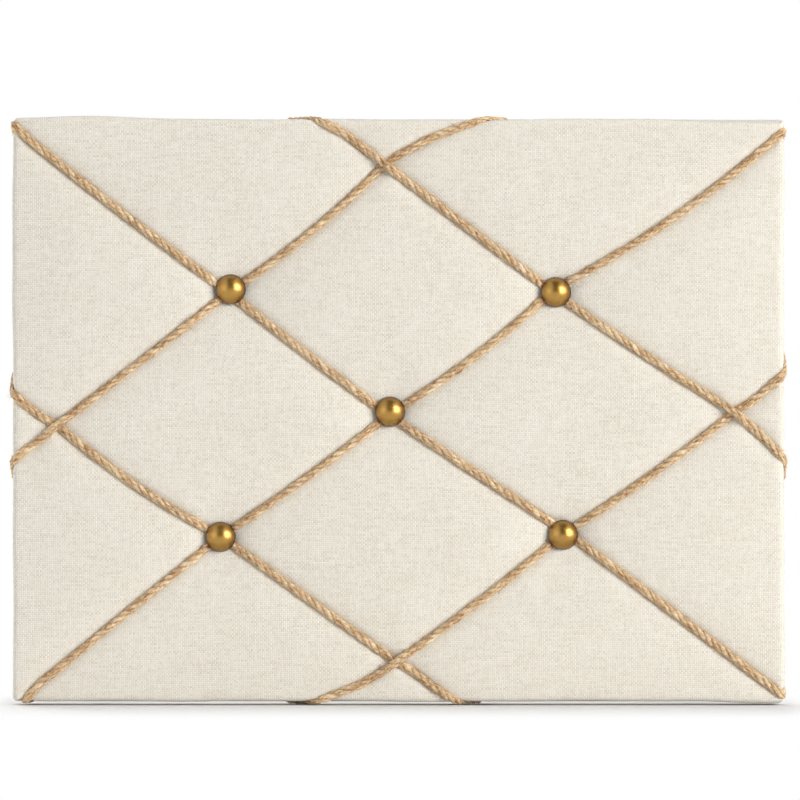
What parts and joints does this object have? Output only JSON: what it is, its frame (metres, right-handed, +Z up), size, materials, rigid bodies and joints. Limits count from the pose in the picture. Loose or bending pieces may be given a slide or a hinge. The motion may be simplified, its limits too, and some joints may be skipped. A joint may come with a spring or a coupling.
{
  "type": "fabric bulletin board",
  "caption": "Padded linen memo board with crossed jute twines under domed brass nails, to tuck photos and notes behind, hung on the wall by swinging D-rings.",
  "frame": {"origin": "middle of the board on the wall plane, where the rear bumpers touch the wall", "axes": "+X to the right seen from the front, +Z up, and the padded front faces -Y, so +Y points into the wall"},
  "size_m": [0.4126, 0.0327, 0.3128],
  "materials": {
    "linen": "natural plain-woven linen, matt, with slubs",
    "wadding": "soft white wadding",
    "fibreboard": "bare medium fibreboard",
    "jute": "twisted jute, hairy and matt",
    "antique_brass": "polished antique brass, darker at the rim",
    "staple_steel": "galvanised staple wire",
    "hanger_steel": "bright zinc plate",
    "bumper_rubber": "matt soft rubber"
  },
  "bodies": {
    "board": {"core_board": "fibreboard", "foam_pad": "wadding", "fabric_cover": "linen", "twine_a": "jute", "twine_b": "jute", "twine_c": "jute", "twine_d": "jute", "twine_e": "jute", "twine_f": "jute", "nail_1": "antique_brass", "nail_2": "antique_brass", "nail_3": "antique_brass", "nail_4": "antique_brass", "nail_5": "antique_brass", "cover_staple_top_1": "staple_steel", "cover_staple_top_2": "staple_steel", "cover_staple_top_3": "staple_steel", "cover_staple_top_4": "staple_steel", "cover_staple_bottom_1": "staple_steel", "cover_staple_bottom_2": "staple_steel", "cover_staple_bottom_3": "staple_steel", "cover_staple_bottom_4": "staple_steel", "cover_staple_left_1": "staple_steel", "cover_staple_left_2": "staple_steel", "cover_staple_left_3": "staple_steel", "cover_staple_right_1": "staple_steel", "cover_staple_right_2": "staple_steel", "cover_staple_right_3": "staple_steel", "twine_staple_a1": "staple_steel", "twine_staple_a2": "staple_steel", "twine_staple_b1": "staple_steel", "twine_staple_b2": "staple_steel", "twine_staple_c1": "staple_steel", "twine_staple_c2": "staple_steel", "twine_staple_d1": "staple_steel", "twine_staple_d2": "staple_steel", "twine_staple_e1": "staple_steel", "twine_staple_e2": "staple_steel", "twine_staple_f1": "staple_steel", "twine_staple_f2": "staple_steel", "hanger_strap_left": "hanger_steel", "hanger_strap_right": "hanger_steel", "hanger_screw_left": "hanger_steel", "hanger_screw_right": "hanger_steel", "bumper_top_left": "bumper_rubber", "bumper_top_right": "bumper_rubber", "bumper_bottom_left": "bumper_rubber", "bumper_bottom_right": "bumper_rubber"},
    "ring_left": {"d_ring_left": "hanger_steel"},
    "ring_right": {"d_ring_right": "hanger_steel"}
  },
  "joints": [
    {"name": "ring_left_swing", "type": "hinge", "parent": "board", "child": "ring_left", "pos_m": [-0.11, -0.00465, 0.0833], "axis": [1, 0, 0], "range_deg": [0, 174]},
    {"name": "ring_right_swing", "type": "hinge", "parent": "board", "child": "ring_right", "pos_m": [0.11, -0.00465, 0.0833], "axis": [1, 0, 0], "range_deg": [0, 174]}
  ]
}
